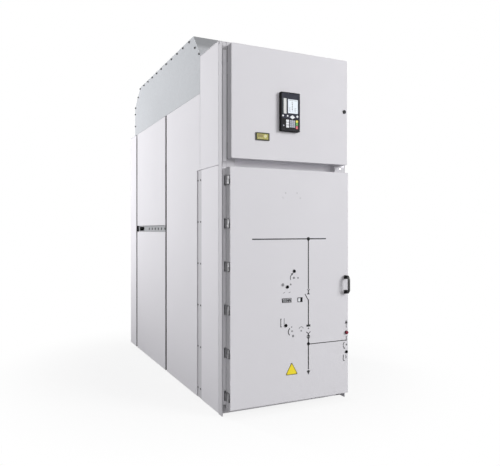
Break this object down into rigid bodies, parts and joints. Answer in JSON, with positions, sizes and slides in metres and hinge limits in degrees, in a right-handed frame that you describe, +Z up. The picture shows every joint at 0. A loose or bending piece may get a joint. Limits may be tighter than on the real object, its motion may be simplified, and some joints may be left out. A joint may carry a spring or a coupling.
{
  "type": "air-insulated switchgear panel",
  "caption": "Free-standing folded steel switchgear panel with a large hinged lower door, a hinged instrument door above it and a sheet metal hood over the busbars.",
  "frame": {"origin": "on the floor, in the middle of the footprint of the base", "axes": "+Z up, the doors face -Y, +X to the right of someone who looks at the doors"},
  "size_m": [1, 2.5795, 2.703],
  "materials": {
    "light_grey_paint": "fine textured powder coat",
    "galvanised_steel": "zinc coated sheet",
    "dark_seam_steel": "matt dark grey",
    "hinge_steel": "satin zinc",
    "black_plastic": "matt moulded",
    "red_plastic": "gloss"
  },
  "bodies": {
    "cabinet": {"compartment_deck": "galvanised_steel", "cross_rail": "light_grey_paint", "door_hinge_frame_halves": "hinge_steel", "floor_plate": "galvanised_steel", "front_crossbar": "galvanised_steel", "hood_front": "galvanised_steel", "hood_rear": "galvanised_steel", "hood_rear_slope": "galvanised_steel", "hood_top": "galvanised_steel", "instrument_back": "galvanised_steel", "instrument_hinge_frame_halves": "hinge_steel", "instrument_roof": "light_grey_paint", "left_base_rail": "galvanised_steel", "left_end_side_panel": "light_grey_paint", "left_front_post": "light_grey_paint", "left_front_side_sheet": "light_grey_paint", "left_hole_rail": "galvanised_steel", "left_hood_side": "galvanised_steel", "left_instrument_side_sheet": "light_grey_paint", "left_joint_strip": "light_grey_paint", "left_lower_rear_side_panel": "light_grey_paint", "left_main_side_panel": "light_grey_paint", "left_middle_seam_post": "dark_seam_steel", "left_rear_seam_post": "dark_seam_steel", "left_upper_rear_side_panel": "light_grey_paint", "lower_rear_wall": "light_grey_paint", "partition": "galvanised_steel", "rear_crossbar": "galvanised_steel", "rear_floor_plate": "galvanised_steel", "rear_roof": "galvanised_steel", "right_base_rail": "galvanised_steel", "right_end_side_panel": "light_grey_paint", "right_front_post": "light_grey_paint", "right_front_side_sheet": "light_grey_paint", "right_hole_rail": "galvanised_steel", "right_hood_side": "galvanised_steel", "right_instrument_side_sheet": "light_grey_paint", "right_joint_strip": "light_grey_paint", "right_lower_rear_side_panel": "light_grey_paint", "right_main_side_panel": "light_grey_paint", "right_middle_seam_post": "dark_seam_steel", "right_rear_seam_post": "dark_seam_steel", "right_upper_rear_side_panel": "light_grey_paint", "sill": "light_grey_paint", "top_rail": "light_grey_paint", "upper_rear_wall": "light_grey_paint"},
    "lower_door": {"lower_door": "light_grey_paint", "lower_door_stiffeners": "galvanised_steel", "door_hinge_door_halves": "hinge_steel", "door_handle": "black_plastic", "operating_sockets": "black_plastic", "push_button": "red_plastic"},
    "instrument_door": {"instrument_door": "light_grey_paint", "instrument_hinge_door_halves": "hinge_steel", "protection_relay": "black_plastic", "voltage_indicator": "black_plastic", "instrument_door_lock": "black_plastic"}
  },
  "joints": [
    {"name": "lower_door_hinge", "type": "hinge", "parent": "cabinet", "child": "lower_door", "pos_m": [-0.476, -1.276, 0], "axis": [0, 0, -1], "range_deg": [0, 110]},
    {"name": "instrument_door_hinge", "type": "hinge", "parent": "cabinet", "child": "instrument_door", "pos_m": [-0.455, -1.252, 0], "axis": [0, 0, -1], "range_deg": [0, 95]}
  ]
}
